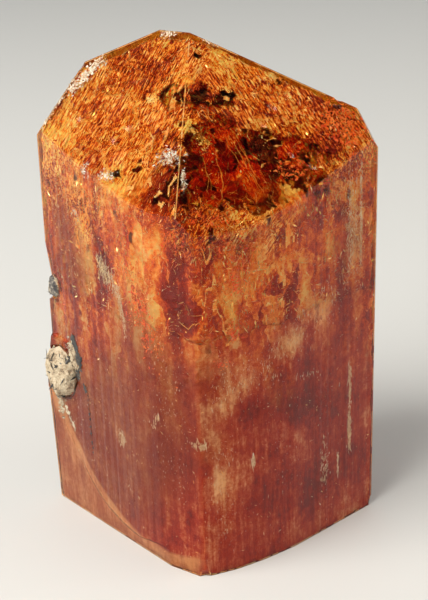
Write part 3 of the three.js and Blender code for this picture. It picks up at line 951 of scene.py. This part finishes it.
def makeHairs(material):
    chance = random.Random(21)
    noise.seed_set(21)  # for the wobble's noise vectors
    routes = hairRoutes(chance, hairSet["strewn"], False) + hairRoutes(chance, hairSet["underSkin"], True)
    for points, thickness in hairSet["chosen"]:
        points = [Vector(point) for point in points]
        fine = []
        for start, end in zip(points, points[1:]):
            parts = max(2, round((end - start).length / hairSet["step"]))
            fine += [start.lerp(end, k / parts) for k in range(parts)]
        fine.append(points[-1])
        fine = [point + hairSet["wobble"] * noise.noise_vector(point * 1.1) for point in fine]
        routes.append((fine, thickness))
    curve = bpy.data.curves.new("hair_cracks", 'CURVE')
    curve.dimensions = '3D'
    for points, thickness in routes:
        if min(depthOf(point * mm) for point in points) < hairSet["clearance"]:
            continue
        spline = curve.splines.new('POLY')
        spline.points.add(len(points) - 1)
        for k, point in enumerate(points):
            taper = math.sin(math.pi * (k + 0.7) / (len(points) + 0.4))
            spline.points[k].co = (*(point * mm), 1)
            spline.points[k].radius = thickness * taper * mm
    roundOff(addObject("hair_cracks", curve), 1.0)
    finishPiece(bpy.context.object, material)


# a curve turned into a mesh of thin round threads
def roundOff(holder, radius):
    pickOnly(holder)
    curve = holder.data
    curve.bevel_depth = radius
    curve.bevel_resolution = 0
    curve.use_fill_caps = True
    bpy.ops.object.convert(target='MESH')


makeHairs(makeSpotted(
    "hair crack", [(0.4, (1, 0.2, 0.03)), (0.5, (1, 0.4, 0.09)), (0.6, (1, 0.78, 0.42))], 0.3))


# films: thin lacy sheets just under the skin, spread between two border lines

filmSet = {
    "grid": 0.12 * mm,
    "thickness": 0.03 * mm,
    "wave": (700, 0.5),  # turns per metre, and share of the depth
    "fineThreads": (2.7, 0.45),  # scale and share of the finer noise in the threads
    "patchScale": 0.3,
    "films": [
        # name, first and second border, depth under the skin, threads per millimetre,
        # direction and stretch of the threads, thread width, share of the patches left out, seed
        ("film_crown", [(-15, -0.3, 39.5), (-11.5, 2.9, 44.3), (-3.9, 2.7, 48), (-1, 0.4, 47.4)],
         [(-14.6, -1.4, 38.3), (-10.5, -5.2, 37.6), (-5.5, -9.8, 36.2), (-1.2, -13, 35.1)],
         0.3, 0.9, (0.43, 0.56, 0.71), 3, 0.1, 0, 81),
        ("film_right", [(-0.8, 0.5, 47.4), (5, 1, 45.2), (9.5, 1.3, 43.2), (12.3, 1.4, 41.9),
                        (15.6, -0.5, 38.6)],
         [(-0.9, -9.2, 38.9), (4, -6, 40), (8.5, -4.5, 39), (12, -3.4, 38.2), (15.6, -1, 37.6)],
         0.3, 0.7, (0.3, 0.5, -0.6), 2, 0.08, 0.05, 82),
        ("film_front", [(1, -13.6, 32.5), (3, -12.6, 33), (9, -8.2, 34)],
         [(1, -13.6, 22), (3, -12.6, 22), (9, -8.2, 25)],
         0.3, 0.8, (0, 0, 1), 4.5, 0.08, -0.05, 83),
        ("film_left", [(-13, -2.7, 36.5), (-9.5, -6.2, 36), (-5, -10.7, 35)],
         [(-13, -2.7, 30), (-9.5, -6.2, 28), (-5, -10.7, 24)],
         0.3, 0.8, (0, 0, 1), 4, 0.08, 0, 84),
    ],
    "stops": [(0.4, (1, 0.24, 0.03)), (0.5, (1, 0.46, 0.1)), (0.6, (1, 0.82, 0.42))],
}


def alongLine(points, share):
    place = share * (len(points) - 1)
    first = min(int(place), len(points) - 2)
    return Vector(points[first]).lerp(Vector(points[first + 1]), place - first)


def makeFilm(name, first, second, depth, threads, direction, stretch, width, patches, seed, material):
    across = max((alongLine(first, k / 4) - alongLine(second, k / 4)).length for k in range(5)) * mm
    along = sum((Vector(a) - Vector(b)).length for a, b in zip(first, first[1:])) * mm
    columns, rows = math.ceil(along / filmSet["grid"]), math.ceil(across / filmSet["grid"])
    heading = Vector(direction).normalized()
    shift = Vector((seed, -seed, seed * 0.7))
    waves, waveDepth = filmSet["wave"]
    fineThreads, fineShare = filmSet["fineThreads"]
    mesh = bmesh.new()
    grid = []
    for i in range(columns + 1):
        start, end = alongLine(first, i / columns), alongLine(second, i / columns)
        line = []
        for j in range(rows + 1):
            nearest, normal = nearestSkin(start.lerp(end, j / rows) * mm)
            point = nearest - normal * depth * (1 + waveDepth * noise.noise(nearest * waves + shift)) * mm
            spot = point / mm
            spot = spot - heading * spot.dot(heading) * (1 - 1 / stretch)
            thread = noise.noise(spot * threads + shift)
            thread += fineShare * noise.noise(spot * threads * fineThreads + shift)
            patch = noise.noise(spot * threads * filmSet["patchScale"] - shift)
            line.append(mesh.verts.new(point) if abs(thread) < width and patch > patches else None)
        grid.append(line)
    for i in range(columns):
        for j in range(rows):
            corners = [grid[i][j], grid[i + 1][j], grid[i + 1][j + 1], grid[i][j + 1]]
            if all(corners):
                mesh.faces.new(corners)
    bmesh.ops.delete(mesh, geom=[vertex for vertex in mesh.verts if not vertex.link_faces], context='VERTS')
    bmesh.ops.recalc_face_normals(mesh, faces=mesh.faces)
    piece = makePiece(name, mesh)
    applyModifier(piece, 'SOLIDIFY', thickness=filmSet["thickness"], offset=0)
    finishPiece(piece, material)


filmMaterial = makeSpotted("golden film", filmSet["stops"], 0.35)
for row in filmSet["films"]:
    makeFilm(*row, filmMaterial)


# bright lines of light along the crystal's main edges

edgeSet = {
    "sharperThan": 35,  # degrees
    "longerThan": 1.6 * mm,
    "rimBelow": 1.2 * mm,  # shorter edges count too under this height
    "rimLonger": 0.4 * mm,
    "bareRock": ((-14.5, -1, 17), 8),  # no lines round here: middle and radius in millimetres
    "bareEdges": 3 * mm,  # upright edges nearer to the middle than this have none
    "inside": 0.11 * mm,
    "radius": 0.04 * mm,
    "kept": 0.3,  # noise above which a stretch is left out
    "breaks": 300,  # scale of that noise
    "stretch": 0.8 * mm,
}


def makeEdgeLines(material):
    mesh = readMesh(topaz)
    bmesh.ops.dissolve_limit(mesh, angle_limit=math.radians(0.5), verts=mesh.verts, edges=mesh.edges)
    lines = bmesh.new()
    rock, radius = edgeSet["bareRock"]
    for edge in mesh.edges:
        start, end = [vertex.co for vertex in edge.verts]
        low = max(start.z, end.z) < edgeSet["rimBelow"]
        sharp = len(edge.link_faces) == 2 and edge.calc_face_angle() > math.radians(edgeSet["sharperThan"])
        upright = abs(start.x - end.x) < 0.1 * mm and abs(start.x) < edgeSet["bareEdges"]
        byRock = ((start + end) / 2 - Vector(rock) * mm).length < radius * mm
        shortest = edgeSet["rimLonger"] if low else edgeSet["longerThan"]
        if not sharp or upright or byRock or edge.calc_length() < shortest:
            continue
        inward = -sum((face.normal for face in edge.link_faces), Vector()).normalized() * edgeSet["inside"]
        start, end = start + inward, end + inward
        parts = max(1, round((end - start).length / edgeSet["stretch"]))
        points = [lines.verts.new(start.lerp(end, k / parts)) for k in range(parts + 1)]
        for first, second in zip(points, points[1:]):
            if noise.noise((first.co + second.co) * edgeSet["breaks"]) < edgeSet["kept"]:
                lines.edges.new((first, second))
    mesh.free()
    pickOnly(makePiece("edge_lines", lines))
    bpy.ops.object.convert(target='CURVE')
    roundOff(bpy.context.object, edgeSet["radius"])
    finishPiece(bpy.context.object, material)


makeEdgeLines(makeSpotted(
    "edge light", [(0.4, (0.95, 0.36, 0.08)), (0.5, (1, 0.6, 0.22)), (0.6, (1, 0.86, 0.55))], 0.4))


# dark hollows with a glossy skin: their near-black colour is painted shade, the darkness seen in empty
# cavities

hollowSet = {
    "hollows": [
        # name, middle, half sizes, turn about Z in degrees, seed
        ("hollow_band", (0.4, -1.4, 42.2), (2.6, 0.6, 0.55), 4, 31),
        ("hollow_spot", (5.4, -3.6, 37.9), (0.85, 0.6, 1.2), 20, 32),
        ("hollow_chip", (12.6, 1.2, 41.2), (0.35, 0.2, 0.25), 0, 33),
        ("hollow_ring", (7.6, -4.2, 35.8), (1.3, 0.5, 0.45), -15, 34),
    ],
    "folds": [(0.9, 1.2), (0.3, 0.4)],  # sizes and reach in millimetres
    "stops": [(0.42, (0.03, 0.003, 0.003)), (0.6, (0.22, 0.02, 0.008))],
}


def makeHollow(name, middle, sizes, turn, seed, material):
    bpy.ops.mesh.primitive_ico_sphere_add(subdivisions=4, radius=1)
    piece = bpy.context.object
    piece.name = name
    place = (Matrix.Translation(Vector(middle) * mm) @ Matrix.Rotation(math.radians(turn), 4, 'Z')
             @ Matrix.Diagonal((*(Vector(sizes) * mm), 1)))
    piece.data.transform(place)
    piece.data.update()
    for k, (size, reach) in enumerate(hollowSet["folds"]):
        crumple(piece, size * mm, reach * mm, seed + 5 * k)
    bpy.ops.object.shade_flat()
    finishPiece(piece, material)


# painted shade: near-black for the dark inside of the cavities
hollowMaterial = makeSpotted("dark hollow", hollowSet["stops"], 0.25)
for row in hollowSet["hollows"]:
    makeHollow(*row, hollowMaterial)


# the host rock: crumbly remnants that fill their pockets, with dark mineral grains

rockSet = {
    "grid": 0.1 * mm,
    "leftTrim": 0.15 * mm,  # cut off the crust's left side
    "fill": 0.1 * mm,  # how far the rock reaches into the gap round its solid
    "folds": [(1.8, 0.45), (0.7, 0.26), (0.25, 0.12)],  # sizes and reach of its lumps in millimetres
    # rows as in flakeSet
    "crumbs": [
        ((-13.3, -2.4, 18.6), (-12.6, -3.2, 15.8), (0.28, 0.28, 0.5), 420, 0.04, 0.2),
        ((-15.3, -0.5, 13.8), (-14.7, -1.1, 10.8), (0.22, 0.22, 0.5), 260, 0.04, 0.22),
        ((-14.4, -1.4, 11.6), (-13.4, -2.3, 9.3), (0.1, 0.1, 0.25), 120, 0.03, 0.14),
        ((-14.9, -0.8, 24.6), (-14.7, -1, 24), (0.15, 0.15, 0.2), 70, 0.04, 0.16),
    ],
    "stops": [(0.4, (0.16, 0.11, 0.07)), (0.47, (0.4, 0.3, 0.19)), (0.58, (0.56, 0.47, 0.33))],
    "darkStops": [(0.4, (0.03, 0.028, 0.03)), (0.52, (0.16, 0.14, 0.12)), (0.64, (0.62, 0.54, 0.4))],
    "grainStops": [(0.4, (0.01, 0.01, 0.012)), (0.6, (0.07, 0.06, 0.05))],
    # grains on the rock: name, rock, count, smallest and largest half size in millimetres, seed
    "grains": [("patch_grains", "rock_patch_crust", 200, 0.04, 0.26, 72),
               ("fleck_grains", "rock_fleck_crust", 60, 0.05, 0.18, 73)],
    # grains in the crystal beside it
    "beside": [
        ((-13, -2.8, 19.6), (-12.4, -3.4, 18.2), (0.1, 0.1, 0.18), 110, 0.1, 0.34),
        ((-12.4, -3.4, 17.8), (-12.2, -3.6, 16.8), (0.15, 0.15, 0.25), 110, 0.1, 0.36),
        ((-12.6, -3.1, 16), (-12.6, -3.1, 15.3), (0.14, 0.14, 0.15), 36, 0.08, 0.26),
        ((-13.4, -2.3, 16.6), (-13.4, -2.3, 16), (0.2, 0.2, 0.2), 14, 0.05, 0.16),
        ((-11.9, -3.9, 14.9), (-11.6, -4.2, 14.3), (0.1, 0.1, 0.15), 40, 0.06, 0.22),
        ((-11.5, -4.4, 14.2), (-11.3, -4.5, 8.2), (0.07, 0.07, 0.4), 90, 0.03, 0.11),
    ],
}


def makeRock(node, name, material, seed):
    piece = copySolid(node, name, rockSet["fill"])
    applyModifier(piece, 'REMESH', mode='VOXEL', voxel_size=rockSet["grid"])
    for size, reach in rockSet["folds"]:
        crumple(piece, size * mm, reach * mm, seed + size)
    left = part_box(node)[0][0] + rockSet["leftTrim"]
    for vertex in piece.data.vertices:
        vertex.co.x = max(vertex.co.x, left)
    bpy.ops.object.shade_flat()
    finishPiece(piece, material, "host_rock", node)


rockMaterial, darkMaterial = [makeSpotted(name, rockSet[stops], 0.9, grain=0.45, relief=0.6)
                              for name, stops in (("host rock", "stops"), ("dark host rock", "darkStops"))]
makeRock("rock_patch", "rock_patch_crust", rockMaterial, 51)
makeRock("rock_fleck", "rock_fleck_crust", darkMaterial, 61)
strewPlates("rock_crumbs", rockSet["crumbs"], rockMaterial, 70, proud=0.01 * mm)
grainMaterial = makeSpotted("mineral grain", rockSet["grainStops"], 0.35)
strewPlates("rock_grains", rockSet["beside"], grainMaterial, 71, proud=0.04 * mm)
for name, rock, count, smallest, largest, seed in rockSet["grains"]:
    strewOnVeil(name, rock, count, 0, -0.05, smallest, largest, grainMaterial, seed, inCrystal=False)
